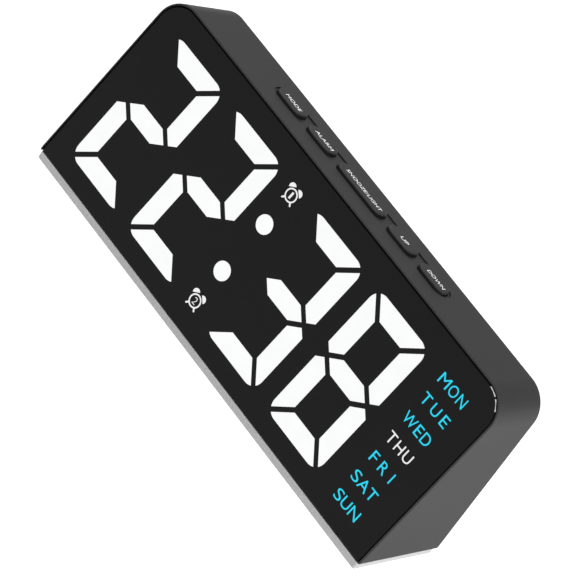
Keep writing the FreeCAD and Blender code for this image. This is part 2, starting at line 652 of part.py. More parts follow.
# Front panel: the gloss plate of the face, bevelled, with screw posts behind.
def make_front_panel():
    body = new_body("front_panel")
    inset = "(rim_width + panel_gap)"
    plate = new_sketch(body, "panel_outline", z="0 - panel_thickness")
    draw_arch(plate, "(body_width - 2 * %s)" % inset, "(face_height - %s - panel_foot)" % inset,
              "(corner_radius - %s)" % inset, base="panel_foot")
    plate_pad = pad(body, plate, "panel_thickness")
    soften(body, "Chamfer", plate_pad, "panel_bevel", on_plane(LEVEL))
    posts = new_sketch(body, "panel_posts", z="0 - panel_thickness")
    pilots = new_sketch(body, "panel_pilots", z="0 - " + stack_back)
    for x, level in ends(post_x, post_low, post_high):
        draw_circle(posts, "post_diameter", x, level)
        draw_circle(pilots, "shank_diameter", x, level)
    pad(body, posts, "(diffuser_thickness + mask_depth)", flipped=True)
    pocket(body, pilots, "(shank_length - board_thickness)", flipped=True)
    guides = doc.addObject("Part::Feature", "guide_openings")
    guides.Shape = Part.makeCompound(all_guides(value("0 - panel_thickness"), value("panel_thickness")))
    panel = doc.addObject("Part::Cut", "front_panel_cut")
    panel.Base = body
    panel.Tool = guides
    keep(panel, "front_panel", FACE)


# One digit as seven bevel-ended strokes: a round-cornered ring with a middle bar,
# parted by gaps at its corners and by crossed gaps at the ends of the bar.
def digit_strokes(bottom, depth):
    half_w = value("digit_width / 2")
    half_h = value("digit_height / 2")
    stroke = value("stroke")
    half_bar = value("middle_stroke / 2")
    gap = value("segment_gap")
    corner = value("digit_corner")
    node_x = half_w - value("node_inset")
    tilt = value("bar_angle")
    window_w = 2 * (half_w - stroke)
    window_h = half_h - stroke - half_bar

    def block(width, height, x, y):
        return Part.makeBox(width, height, depth, FreeCAD.Vector(x, y, bottom))

    ring = block(2 * half_w, 2 * half_h, -half_w, -half_h)
    upright = [edge for edge in ring.Edges if abs(edge.tangentAt(edge.FirstParameter).z) > 0.5]
    ring = ring.makeFillet(corner, upright)
    cuts = [
        block(window_w, window_h, -window_w / 2, half_bar),
        block(window_w, window_h, -window_w / 2, -half_bar - window_h),
    ]

    def gap_strip(x, y, angle, reach):
        strip = block(reach, gap, 0, -gap / 2)
        strip.rotate(FreeCAD.Vector(0, 0, 0), FreeCAD.Vector(0, 0, 1), angle)
        strip.translate(FreeCAD.Vector(x, y, 0))
        return strip

    corner_reach = math.hypot(stroke, stroke) + gap
    for side, turn in ((1, 180), (-1, 0)):
        for up in (1, -1):
            inward = turn + side * up * 45
            cuts.append(gap_strip(side * half_w, up * half_h, inward, corner_reach))
            arm = turn - side * up * tilt
            arm_reach = (node_x - window_w / 2) / math.cos(math.radians(tilt)) + gap
            cuts.append(gap_strip(side * node_x, 0, arm, arm_reach))
            outward = 180 + turn + side * up * tilt
            cuts.append(gap_strip(side * node_x, 0, outward, half_w))
        edge_x = side * (half_w + gap)
        rise = (half_w + gap - node_x) * math.tan(math.radians(tilt))
        wedge = [(side * node_x, 0), (edge_x, rise), (edge_x, -rise), (side * node_x, 0)]
        outline = Part.makePolygon([FreeCAD.Vector(x, y, bottom) for x, y in wedge])
        cuts.append(Part.Face(outline).extrude(FreeCAD.Vector(0, 0, depth)))
    return name_strokes(ring.cut(cuts).Solids)


def name_strokes(solids):
    """Letter the seven strokes by where they lie: a on top, clockwise to f, g in the middle."""
    strokes = {}
    side_band = value("digit_width / 2 - stroke")
    for solid in solids:
        centre = solid.CenterOfMass
        if abs(centre.x) < side_band / 2:
            letter = "g" if abs(centre.y) < value("middle_stroke") else ("a" if centre.y > 0 else "d")
        elif centre.x > 0:
            letter = "b" if centre.y > 0 else "c"
        else:
            letter = "f" if centre.y > 0 else "e"
        strokes[letter] = solid
    return strokes


DIGITS = [
    ("digit_1", "hours_tens_x", "abged"),
    ("digit_2", "hours_units_x", "abged"),
    ("digit_3", "minutes_tens_x", "abgcd"),
    ("digit_4", "minutes_units_x", "abcdefg"),
]


def moved(solid, x, y):
    copy = solid.copy()
    copy.translate(FreeCAD.Vector(x, y, 0))
    return copy


def colon_dots(bottom, depth):
    radius = value("dot_diameter / 2")
    x = value("colon_x")
    dots = []
    for level in (value("digit_level + dot_spread"), value("digit_level - dot_spread")):
        dots.append(Part.makeCylinder(radius, depth, FreeCAD.Vector(x, level, bottom)))
    return dots


def all_guides(bottom, depth):
    """Every light guide of the face, in the face's own frame."""
    strokes = digit_strokes(bottom, depth)
    level = value("digit_level")
    solids = [moved(strokes[key], value(x), level) for name, x, lit in DIGITS for key in sorted(strokes)]
    return solids + colon_dots(bottom, depth)


def make_guides():
    bottom = value("0 - panel_thickness")
    depth = value("panel_thickness")
    strokes = digit_strokes(bottom, depth)
    level = value("digit_level")
    for name, x, lit in DIGITS:
        shining = [moved(strokes[key], value(x), level) for key in sorted(strokes) if key in lit]
        resting = [moved(strokes[key], value(x), level) for key in sorted(strokes) if key not in lit]
        solid_group(name + "_lit_segments", shining, FACE)
        if resting:
            solid_group(name + "_dark_segments", resting, FACE)
    solid_group("colon_dots", colon_dots(bottom, depth), FACE)


def make_diffuser():
    body = new_body("diffuser_sheet")
    outline = new_sketch(body, "diffuser_outline", z="0 - panel_thickness")
    draw_plate(outline, "stack_width", stack_height, "post_diameter / 2", "0", "digit_level")
    pad(body, outline, "diffuser_thickness", flipped=True)
    keep(body, "diffuser_sheet", FACE)


# Light mask: a white block with one well behind each light guide and legend.
def make_light_mask():
    body = new_body("light_mask")
    outline = new_sketch(body, "mask_outline", z="0 - " + stack_back)
    draw_plate(outline, "stack_width", stack_height, "post_diameter / 2", "0", "digit_level")
    pad(body, outline, "mask_depth")
    legends = new_sketch(body, "legend_wells", z="0 - " + stack_back)
    for row in range(-3, 4):
        draw_plate(legends, "weekday_well_width", "weekday_well_height", "weekday_well_corner", "weekday_x",
                   "(digit_level + %d * weekday_pitch)" % row)
    for side in ("+", "-"):
        draw_circle(legends, "sign_well", "colon_x", "(digit_level %s sign_spread)" % side)
    pocket(body, legends, "mask_depth", flipped=True)
    wells = doc.addObject("Part::Feature", "guide_wells")
    wells.Shape = Part.makeCompound(all_guides(value("0 - " + stack_back), value("mask_depth")))
    mask = doc.addObject("Part::Cut", "light_mask_cut")
    mask.Base = body
    mask.Tool = wells
    keep(mask, "light_mask", FACE)


def make_display_board():
    body = new_body("display_board")
    outline = new_sketch(body, "display_board_outline", z="0 - " + stack_back)
    draw_plate(outline, board_width, stack_height, "post_diameter / 2", "0", "digit_level")
    pad(body, outline, "board_thickness", flipped=True)
    holes = new_sketch(body, "display_board_holes", z="0 - " + stack_back)
    for x, level in ends(post_x, post_low, post_high):
        draw_circle(holes, "(shank_diameter + 2 * screw_clearance)", x, level)
    pocket(body, holes, "board_thickness")
    keep(body, "display_board", FACE)


# Light-emitting diodes: two along each stroke, one under each dot and legend.
def make_leds():
    length = value("led_length")
    width = value("led_width")
    height = value("led_height")
    floor = value("0 - " + stack_back)
    level = value("digit_level")
    across = value("digit_width / 2 - stroke / 2")
    up = value("digit_height / 2 - stroke / 2")
    quarter = up / 2
    spread = value("digit_width / 2 - stroke") / 2
    flat_places = [(side * spread, row * up) for row in (-1, 0, 1) for side in (-1, 1)]
    tall_places = []
    for side in (-1, 1):
        for half in (-1, 1):
            for shift in (-1, 1):
                tall_places.append((side * across, half * quarter + shift * spread))
    solids = []

    def led(x, y, upright):
        wide, high = (width, length) if upright else (length, width)
        solids.append(Part.makeBox(wide, high, height, FreeCAD.Vector(x - wide / 2, y - high / 2, floor)))

    for name, x, lit in DIGITS:
        for place_x, place_y in flat_places:
            led(value(x) + place_x, level + place_y, False)
        for place_x, place_y in tall_places:
            led(value(x) + place_x, level + place_y, True)
    for distance in (value("dot_spread"), value("sign_spread")):
        for side in (-1, 1):
            led(value("colon_x"), level + side * distance, False)
    for row in range(-3, 4):
        led(value("weekday_x"), level + row * value("weekday_pitch"), False)
    solid_group("display_leds", solids, FACE)


# Pan-head screw with a cross recess: head above z = 0, shank below.
def screw(length):
    head = Part.makeCylinder(value("head_diameter / 2"), value("head_height"))
    shank = Part.makeCylinder(value("shank_diameter / 2"), value(length),
                              FreeCAD.Vector(0, 0, 0), FreeCAD.Vector(0, 0, -1))
    solid = head.fuse(shank).removeSplitter()
    arm = value("cross_length")
    width = value("cross_width")
    depth = value("head_height / 2")
    top = value("head_height") - depth
    for wide, high in ((arm, width), (width, arm)):
        solid = solid.cut(Part.makeBox(wide, high, depth, FreeCAD.Vector(-wide / 2, -high / 2, top)))
    return solid


def make_screws(name, frame, places, z, head_down=False, length="shank_length"):
    solids = []
    for x, y in places:
        one = screw(length)
        if head_down:
            one.rotate(FreeCAD.Vector(0, 0, 0), FreeCAD.Vector(1, 0, 0), 180)
        one.translate(FreeCAD.Vector(value(x), value(y), 0))
        solids.append(one)
    solid_group(name, solids, frame, "0", "0", z)


# Rear cover: the plate that closes the back, with the sound holes, the inlet slot
# and the cup that holds the back-up cell under its own door.
def make_rear_cover():
    body = new_body("rear_cover")
    inset = "(cover_rim + cover_gap)"
    plate = new_sketch(body, "cover_outline")
    draw_arch(plate, "(body_width - 2 * %s)" % inset, "(%s - 2 * %s)" % (rear_height, inset),
              "(rear_corner_radius - %s)" % inset, base=inset, draft="rear_draft")
    pad(body, plate, "cover_thickness")

    cup = new_sketch(body, "cell_cup", z="cover_thickness")
    rim = "2 * (door_gap + cup_wall)"
    draw_plate(cup, "(door_width + %s)" % rim, "(door_height + %s)" % rim,
               "(door_corner + door_gap + cup_wall)", "cell_x", "cell_level")
    pad(body, cup, "(%s - cover_thickness)" % cup_depth)
    door_seat = new_sketch(body, "door_seat")
    draw_plate(door_seat, "(door_width + 2 * door_gap)", "(door_height + 2 * door_gap)",
               "(door_corner + door_gap)", "cell_x", "cell_level")
    pocket(body, door_seat, "door_thickness", flipped=True)
    well = new_sketch(body, "cell_well")
    draw_circle(well, "(cell_diameter + 2 * cell_gap)", "(cell_x - cell_offset)", "cell_level")
    pocket(body, well, "(%s - cup_wall)" % cup_depth, flipped=True)
    door_pilot = new_sketch(body, "door_pilot")
    draw_circle(door_pilot, "shank_diameter", "(cell_x + door_screw_x)", "cell_level")
    pocket(body, door_pilot, "(head_height + door_shank_length)", flipped=True)

    seat = new_sketch(body, "speaker_ring", z="cover_thickness")
    draw_circle(seat, "(speaker_diameter + 2 * cover_gap + 2 * speaker_seat)", "speaker_x", "speaker_level")
    draw_circle(seat, "(speaker_diameter + 2 * cover_gap)", "speaker_x", "speaker_level")
    pad(body, seat, "cover_thickness")
    centre = new_sketch(body, "sound_centre", LEVEL, "speaker_x", "speaker_level")
    draw_circle(centre, "sound_hole")
    pocket(body, centre, "cover_thickness", flipped=True)
    for ring, count in ((1, 6), (2, 12), (3, 18)):
        hole = new_sketch(body, "sound_ring_%d" % ring, LEVEL, "speaker_x", "speaker_level")
        draw_circle(hole, "sound_hole", "%d * sound_pitch" % ring)
        cut = pocket(body, hole, "cover_thickness", flipped=True)
        doc.recompute()
        pattern = body.newObject("PartDesign::PolarPattern", "sound_pattern_%d" % ring)
        pattern.Originals = [cut]
        pattern.Axis = (hole, ["N_Axis"])
        pattern.Angle = 360
        pattern.Occurrences = count
        body.Tip = pattern

    slot = new_sketch(body, "inlet_slot")
    draw_plate(slot, "(usb_width + 2 * slot_gap)", "(usb_height + 2 * slot_gap)",
               "(usb_height / 2 - usb_wall)", "usb_x", usb_level)
    pocket(body, slot, "cover_thickness", flipped=True)
    heads = new_sketch(body, "cover_head_seats")
    shanks = new_sketch(body, "cover_shank_holes")
    for x, level in ends(boss_x, "boss_low", "boss_high"):
        draw_circle(heads, "(head_diameter + 2 * screw_clearance)", x, level)
        draw_circle(shanks, "(shank_diameter + 2 * screw_clearance)", x, level)
    pocket(body, heads, "head_height", flipped=True)
    pocket(body, shanks, "cover_thickness", flipped=True)
    keep(body, "rear_cover", BACK)


# The inlet stands on the main board, at this height up the back.
usb_level = "((%s - pad_thickness + usb_height / 2) / cos(rear_lean))" % main_board_top


def make_cell_door():
    body = new_body("cell_door")
    outline = new_sketch(body, "door_outline")
    draw_plate(outline, "door_width", "door_height", "door_corner")
    pad(body, outline, "door_thickness")
    shank = new_sketch(body, "door_hole")
    draw_circle(shank, "(shank_diameter + 2 * screw_clearance)", "door_screw_x")
    pocket(body, shank, "door_thickness", flipped=True)
    head = new_sketch(body, "door_head_seat")
    draw_circle(head, "(head_diameter + 2 * screw_clearance)", "door_screw_x")
    pocket(body, head, "head_height", flipped=True)
    grip = new_sketch(body, "door_grip_notch")
    draw_circle(grip, "door_grip", "(0 - door_width / 2)")
    pocket(body, grip, "(door_thickness / 2)", flipped=True)
    keep(body, "cell_door", BACK, "cell_x", "cell_level")


def make_cell():
    body = new_body("coin_cell")
    can = new_sketch(body, "cell_can", z="contact_thickness")
    draw_circle(can, "cell_diameter")
    pad(body, can, "cell_can_height")
    cap = new_sketch(body, "cell_cap", z="contact_thickness")
    draw_circle(cap, "cell_cap")
    pad(body, cap, "cell_thickness")
    keep(body, "coin_cell", BACK, "(cell_x - cell_offset)", "cell_level", "door_thickness")
    for name, level in (("cell_contact_outer", "door_thickness"),
                        ("cell_contact_inner", "(door_thickness + contact_thickness + cell_thickness)")):
        contact = new_body(name)
        leaf = new_sketch(contact, name + "_outline")
        draw_plate(leaf, "contact_length", "contact_width", "contact_thickness")
        pad(contact, leaf, "contact_thickness")
        keep(contact, name, BACK, "(cell_x - cell_offset)", "cell_level", level)


# Speaker: a drawn frame open to the sound holes, with a paper cone inside.
def make_speaker():
    frame = new_body("speaker_frame")
    basket = new_sketch(frame, "basket")
    draw_circle(basket, "speaker_diameter")
    pad(frame, basket, "speaker_depth / 2")
    magnet = new_sketch(frame, "magnet")
    draw_circle(magnet, "speaker_magnet")
    pad(frame, magnet, "speaker_depth")
    mouth = new_sketch(frame, "speaker_mouth")
    draw_circle(mouth, "(speaker_diameter - 2 * speaker_seat)")
    pocket(frame, mouth, "(speaker_depth / 2 - speaker_seat / 2)", flipped=True)
    keep(frame, "speaker_frame", BACK, "speaker_x", "speaker_level", "cover_thickness")
    cone = doc.addObject("Part::Cone", "cone_form")
    cone.setExpression("Radius1", bound("speaker_diameter / 2 - speaker_seat - cover_gap"))
    cone.setExpression("Radius2", bound("speaker_neck / 2"))
    cone.setExpression("Height", bound("speaker_depth / 2 - speaker_seat / 2"))
    keep(cone, "speaker_cone", BACK, "speaker_x", "speaker_level", "cover_thickness")


def make_main_board():
    body = new_body("main_board")
    outline = new_sketch(body, "main_board_outline")
    middle = "(%s - main_board_depth / 2)" % main_board_edge
    draw_plate(outline, "main_board_width", "main_board_depth", "board_thickness", "0", middle)
    pad(body, outline, "board_thickness")
    holes = new_sketch(body, "main_board_holes")
    for x, y in main_board_holes():
        draw_circle(holes, "(shank_diameter + 2 * screw_clearance)", x, y)
    pocket(body, holes, "board_thickness", flipped=True)
    keep(body, "main_board", LEVEL, z="(%s + standoff_height)" % floor_top)


# Inlet: an oval metal shell round a contact tongue, its mouth in the cover's slot.
def make_inlet():
    length = "usb_length"
    body = new_body("usb_socket")
    shell = new_sketch(body, "inlet_shell")
    draw_plate(shell, "usb_width", "usb_height", "(usb_height / 2 - usb_wall)")
    pad(body, shell, length)
    mouth = new_sketch(body, "inlet_mouth")
    draw_plate(mouth, "(usb_width - 2 * usb_wall)", "(usb_height - 2 * usb_wall)",
               "(usb_height / 2 - 2 * usb_wall)")
    pocket(body, mouth, "(%s - usb_wall)" % length, flipped=True)
    tongue = new_sketch(body, "inlet_tongue", z="usb_tongue")
    draw_plate(tongue, "usb_tongue_width", "usb_tongue", "usb_tongue / 4")
    pad(body, tongue, "(%s - usb_tongue)" % length)
    keep(body, "usb_socket", BACK, "usb_x", usb_level, "usb_setback")


CHIPS = [
    # name, x and y on the board from its middle, width, depth, height
    ("clock_chip", -18.0, 2.0, 10.0, 7.5, 1.8),
    ("driver_chip", 2.0, 3.0, 8.0, 6.0, 1.5),
    ("audio_chip", 34.0, -2.0, 5.0, 4.0, 1.5),
]


def make_chips():
    middle = value("%s - main_board_depth / 2" % main_board_edge)
    solids = []
    for name, x, y, width, depth, height in CHIPS:
        corner = FreeCAD.Vector(x - width / 2, middle + y - depth / 2, 0)
        solids.append(Part.makeBox(width, depth, height, corner))
    solid_group("board_chips", solids, LEVEL, z=main_board_top)


# Crystal of the clock: a pressed can with half-round ends on a thin flange.
def make_crystal():
    body = new_body("crystal_can")
    flange = new_sketch(body, "crystal_foot")
    draw_stadium(flange, "crystal_length", "crystal_depth")
    pad(body, flange, "crystal_flange")
    can = new_sketch(body, "crystal_shell", z="crystal_flange")
    rim = "2 * crystal_flange"
    draw_stadium(can, "(crystal_length - %s)" % rim, "(crystal_depth - %s)" % rim)
    can_pad = pad(body, can, "(crystal_height - crystal_flange)")
    soften(body, "Fillet", can_pad, "crystal_flange", on_plane(LEVEL, "crystal_height"))
    keep(body, "crystal_can", LEVEL, "crystal_x", "(%s - main_board_depth / 2)" % main_board_edge,
         main_board_top)


# Pin headers for the leads to the other two boards: a shroud round a row of pins.
HEADERS = [
    # name, x on the board, pins
    ("display_header", -22.0, 6),
    ("key_header", 6.0, 5),
]


def make_headers():
    depth = value("header_depth")
    height = value("header_height")
    wall = value("header_wall")
    pin = value("pin_side")
    pitch = value("pin_pitch")
    y = value("%s - main_board_depth + header_setback" % main_board_edge)
    solids = []
    for name, x, pins in HEADERS:
        length = pins * pitch + 2 * wall
        shroud = Part.makeBox(length, depth, height, FreeCAD.Vector(x - length / 2, y - depth / 2, 0))
        well = Part.makeBox(length - 2 * wall, depth - 2 * wall, height - wall,
                            FreeCAD.Vector(x - length / 2 + wall, y - depth / 2 + wall, wall))
        shroud = shroud.cut(well)
        for step in range(pins):
            pin_x = x + (step - (pins - 1) / 2) * pitch
            corner = FreeCAD.Vector(pin_x - pin / 2, y - pin / 2, wall / 2)
            shroud = shroud.fuse(Part.makeBox(pin, pin, height - wall, corner))
        solids.append(shroud)
    solid_group("pin_headers", solids, LEVEL, z=main_board_top)


def make_base_pad():
    body = new_body("base_pad")
    outline = new_sketch(body, "pad_outline")
    draw_plate(outline, "(body_width - 2 * pad_side_inset)", "(base_depth - 2 * pad_end_inset)",
               "pad_corner", "0", "(%s + base_depth / 2)" % front_y)
    pad(body, outline, "pad_thickness")
    keep(body, "base_pad")


make_housing()
make_front_panel()
make_guides()
make_diffuser()
make_light_mask()
make_display_board()
make_leds()
make_screws("display_screws", FACE, ends(post_x, post_low, post_high),
            "0 - %s - board_thickness" % stack_back, head_down=True)
for key_name, key_size, key_x in KEYS:
    make_key(key_name, key_size, key_x)
    make_plunger(key_name, key_x)
make_switches()
make_key_board()
key_screw_places = [("(key_row_x %s %s)" % (side, key_boss_x), "key_setback") for side in ("-", "+")]
make_screws("key_board_screws", TOP, key_screw_places,
            "0 - %s - key_board_thickness" % key_board_drop, head_down=True)
make_rear_cover()
make_screws("cover_screws", BACK, ends(boss_x, "boss_low", "boss_high"), "head_height", head_down=True)
make_cell_door()
make_screws("cell_door_screw", BACK, [("(cell_x + door_screw_x)", "cell_level")], "head_height",
            head_down=True, length="door_shank_length")
make_cell()
make_speaker()
make_main_board()
make_screws("main_board_screws", LEVEL, main_board_holes(), main_board_top)
make_inlet()
make_chips()
make_crystal()
make_headers()
make_base_pad()
doc.recompute()

for item in doc.Objects:
    if "Invalid" in item.State or "Error" in item.State:
        raise RuntimeError("%s did not rebuild" % item.Name)
for node in nodes:
    if node.Shape.isNull() or not node.Shape.isValid():
        raise RuntimeError("%s has no sound shape" % node.Label)

os.makedirs("parts", exist_ok=True)
for node in nodes:
    node.Shape.exportStep("parts/%s.step" % node.Label)
    print("%-26s %2d solids %10.1f mm3" % (node.Label, len(node.Shape.Solids), node.Shape.Volume))
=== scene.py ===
# Day clock: finishes, legends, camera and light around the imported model
import math

import bmesh
import bpy
from mathutils import Matrix, Vector


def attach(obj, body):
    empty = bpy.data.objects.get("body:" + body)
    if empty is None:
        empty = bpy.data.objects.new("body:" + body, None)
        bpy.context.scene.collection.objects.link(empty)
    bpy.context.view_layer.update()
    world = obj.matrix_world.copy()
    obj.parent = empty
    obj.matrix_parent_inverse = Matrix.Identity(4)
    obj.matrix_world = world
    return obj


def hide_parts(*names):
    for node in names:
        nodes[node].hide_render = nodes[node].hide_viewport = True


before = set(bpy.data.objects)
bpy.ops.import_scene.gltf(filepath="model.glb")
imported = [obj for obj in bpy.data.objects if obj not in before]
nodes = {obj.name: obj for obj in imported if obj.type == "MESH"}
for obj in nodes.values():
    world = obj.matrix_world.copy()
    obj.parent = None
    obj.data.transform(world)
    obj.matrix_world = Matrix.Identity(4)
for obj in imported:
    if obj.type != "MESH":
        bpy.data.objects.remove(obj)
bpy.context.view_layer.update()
mm = 0.001
print("frame loaded:", len(nodes), "nodes")


def linear(hexText):
    # sRGB hex to the linear values that Blender mixes with
    parts = [int(hexText[i:i + 2], 16) / 255 for i in (1, 3, 5)]
    return [p / 12.92 if p <= 0.04045 else ((p + 0.055) / 1.055) ** 2.4 for p in parts] + [1.0]


def addNode(tree, kind, settings=None, links=None):
    # one node: settings go to its properties or sockets, links come in from other sockets
    node = tree.nodes.new(kind)
    for key, value in (settings or {}).items():
        if isinstance(key, str) and key in node.bl_rna.properties:
            setattr(node, key, value)
        else:
            node.inputs[key].default_value = value
    for key, source in (links or {}).items():
        tree.links.new(source, node.inputs[key])
    return node


def newMaterial(name):
    # a material with its shader, and the point in metres that patterns are drawn by
    material = bpy.data.materials.new(name)
    material.use_nodes = True
    tree = material.node_tree
    tree.nodes.clear()
    shader = addNode(tree, "ShaderNodeBsdfPrincipled")
    addNode(tree, "ShaderNodeOutputMaterial", links={"Surface": shader.outputs["BSDF"]})
    place = addNode(tree, "ShaderNodeTexCoord").outputs["Object"]
    return material, tree, shader, place


def perMetre(sizeMm):
    # texture scale at which one cell measures that many millimetres
    return 1 / (sizeMm * mm)


def toneRamp(tree, factor, stops):
    # a ramp between two colours, from the lower to the upper place in the pattern
    ramp = addNode(tree, "ShaderNodeValToRGB", links={"Fac": factor})
    for element, (position, colour) in zip(ramp.color_ramp.elements, stops):
        element.position = position
        element.color = linear(colour)
    return ramp.outputs["Color"]


def addBump(tree, shader, height, strength, deepMm):
    # fine relief of the surface, from a pattern's height
    settings = {"Strength": strength, "Distance": deepMm * mm}
    bump = addNode(tree, "ShaderNodeBump", settings, {"Height": height})
    tree.links.new(bump.outputs["Normal"], shader.inputs["Normal"])


# What all the grained finishes share: octaves of their two noises, the share of the finer one where a
# finish doesn't give its own, and the part of the pattern in which the colour changes
grain = {
    "drift": {"Detail": 3.0, "Roughness": 0.55}, "speck": {"Detail": 2.0, "Roughness": 0.6},
    "speckShare": 0.3, "toneFrom": 0.35, "toneTo": 0.65,
}


def grainInto(tree, shader, place, look):
    # colour drift, uneven gloss and surface grain of the moulded and rolled finishes
    drift = addNode(tree, "ShaderNodeTexNoise", {"Scale": perMetre(look["driftMm"]), **grain["drift"]},
                    {"Vector": place})
    speck = addNode(tree, "ShaderNodeTexNoise", {"Scale": perMetre(look["grainMm"]), **grain["speck"]},
                    {"Vector": place})
    blend = addNode(tree, "ShaderNodeMix",
                    {"data_type": "FLOAT", "Factor": look.get("speckShare", grain["speckShare"])},
                    {"A": drift.outputs["Fac"], "B": speck.outputs["Fac"]}).outputs["Result"]
    tone = toneRamp(tree, blend, [(grain["toneFrom"], look["dark"]), (grain["toneTo"], look["light"])])
    tree.links.new(tone, shader.inputs["Base Color"])
    gloss = addNode(tree, "ShaderNodeMapRange", {"To Min": look["roughLow"], "To Max": look["roughHigh"]},
                    {"Value": blend})
    tree.links.new(gloss.outputs["Result"], shader.inputs["Roughness"])
    addBump(tree, shader, speck.outputs["Fac"], look["bump"], look["bumpMm"])


def finish(name, look):
    # a grained material from its dictionary; constants stay on the shader's own sockets
    material, tree, shader, place = newMaterial(name)
    for socket, value in look.get("shader", {}).items():
        shader.inputs[socket].default_value = value
    grainInto(tree, shader, place, look)
    return material


# ABS, moulded in a spark-eroded tool: an even matt charcoal whose grain breaks the highlights up.
# The real grain is about 0.1 mm, drawn at 0.3 mm so that it shows.
charcoalAbs = finish("ABS charcoal spark textured", {
    "dark": "#282829", "light": "#2E2E2F", "driftMm": 24, "grainMm": 0.3, "speckShare": 0.45,
    "roughLow": 0.50, "roughHigh": 0.62, "bump": 0.22, "bumpMm": 0.03,
    "shader": {"IOR": 1.53, "Specular IOR Level": 0.5}})

# ABS key caps: the same resin from a smoother tool, so a little silkier
keyAbs = finish("ABS charcoal key cap", {
    "dark": "#141415", "light": "#19191A", "driftMm": 9, "grainMm": 0.22, "speckShare": 0.5,
    "roughLow": 0.46, "roughHigh": 0.56, "bump": 0.15, "bumpMm": 0.02,
    "shader": {"IOR": 1.53, "Specular IOR Level": 0.6}})

# PMMA, smoke black and polished: deep and glassy, the faint waviness of a moulded sheet
blackAcrylic = finish("PMMA smoke black polished", {
    "dark": "#0A0A0B", "light": "#0D0D0E", "driftMm": 40, "grainMm": 3.0, "speckShare": 0.2,
    "roughLow": 0.02, "roughHigh": 0.04, "bump": 0.02, "bumpMm": 0.01,
    "shader": {"IOR": 1.49, "Specular IOR Level": 0.17}})

# Polycarbonate light guide that is switched off: as dark as the panel around it
darkGuide = finish("PC light guide unlit", {
    "dark": "#0A0A0B", "light": "#0D0D0E", "driftMm": 12, "grainMm": 1.2, "speckShare": 0.3,
    "roughLow": 0.02, "roughHigh": 0.04, "bump": 0.02, "bumpMm": 0.01,
    "shader": {"IOR": 1.49, "Specular IOR Level": 0.17}})

# Foamed silicone rubber pad: soft, pale grey, finely pored
palePad = finish("Silicone rubber pale grey", {
    "dark": "#E6E6E6", "light": "#F0F0F0", "driftMm": 16, "grainMm": 0.35, "speckShare": 0.5,
    "roughLow": 0.62, "roughHigh": 0.78, "bump": 0.3, "bumpMm": 0.04,
    "shader": {"IOR": 1.41, "Specular IOR Level": 0.3}})

# High-impact polystyrene, bright white, of the light wells: chalky so that it scatters
whiteHips = finish("HIPS white moulded", {
    "dark": "#DCDCDA", "light": "#E8E8E6", "driftMm": 10, "grainMm": 0.3,
    "roughLow": 0.5, "roughHigh": 0.65, "bump": 0.15, "bumpMm": 0.02, "shader": {"IOR": 1.59}})

# Diffuser film: milky polycarbonate sheet with a satin side
milkyFilm = finish("PC diffuser film satin", {
    "dark": "#DADDDF", "light": "#E6E8EA", "driftMm": 30, "grainMm": 0.2,
    "roughLow": 0.35, "roughHigh": 0.5, "bump": 0.1, "bumpMm": 0.01,
    "shader": {"IOR": 1.58, "Subsurface Weight": 0.15, "Subsurface Scale": 0.001}})

# Black glass-filled nylon: plungers and switch bodies, slightly mottled by its fibres
blackNylon = finish("PA66 black glass filled", {
    "dark": "#1A1A1B", "light": "#242425", "driftMm": 3, "grainMm": 0.15,
    "roughLow": 0.38, "roughHigh": 0.55, "bump": 0.2, "bumpMm": 0.02, "shader": {"IOR": 1.53}})

# Epoxy moulding compound of the chips: dull near-black with a fine tooth
epoxyChip = finish("Epoxy moulding compound", {
    "dark": "#202022", "light": "#2B2B2D", "driftMm": 2, "grainMm": 0.1,
    "roughLow": 0.55, "roughHigh": 0.7, "bump": 0.25, "bumpMm": 0.01, "shader": {"IOR": 1.55}})

# Pressed paper cone, dyed black: fibrous and dull
paperCone = finish("Paper pulp cone black", {
    "dark": "#141414", "light": "#222221", "driftMm": 2.5, "grainMm": 0.25, "speckShare": 0.6,
    "roughLow": 0.8, "roughHigh": 0.95, "bump": 0.5, "bumpMm": 0.05, "shader": {"IOR": 1.5}})

# Nickel-plated steel: contacts, cell, socket shell, inner screws; faint rolling streaks
nickelSteel = finish("Steel nickel plated", {
    "dark": "#B9B8B2", "light": "#CCCBC6", "driftMm": 4, "grainMm": 0.12,
    "roughLow": 0.22, "roughHigh": 0.36, "bump": 0.06, "bumpMm": 0.01, "shader": {"Metallic": 1.0}})

# Black-oxide steel of the outer screws: dark with a soft metallic edge
oxideSteel = finish("Steel black oxide", {
    "dark": "#2A2A2C", "light": "#3A3A3C", "driftMm": 1.5, "grainMm": 0.1,
    "roughLow": 0.35, "roughHigh": 0.5, "bump": 0.1, "bumpMm": 0.01, "shader": {"Metallic": 0.85}})


# FR-4 glass laminate under green solder mask: the cloth shows through the lacquer, and tracks raise it.
# A thread of 0.6 mm is drawn about six times as wide so that it shows: three ripples to a 12 mm cell.
board = {
    "clothMm": 12, "ripple": 0.4, "dark": "#0B4526", "light": "#126437",
    "track": "#1C7A48", "trackMm": 1.6, "trackFrom": 0.05, "trackTo": 0.09,
    "bump": 0.2, "bumpMm": 0.03, "rough": 0.32, "lacquer": 0.4,
}


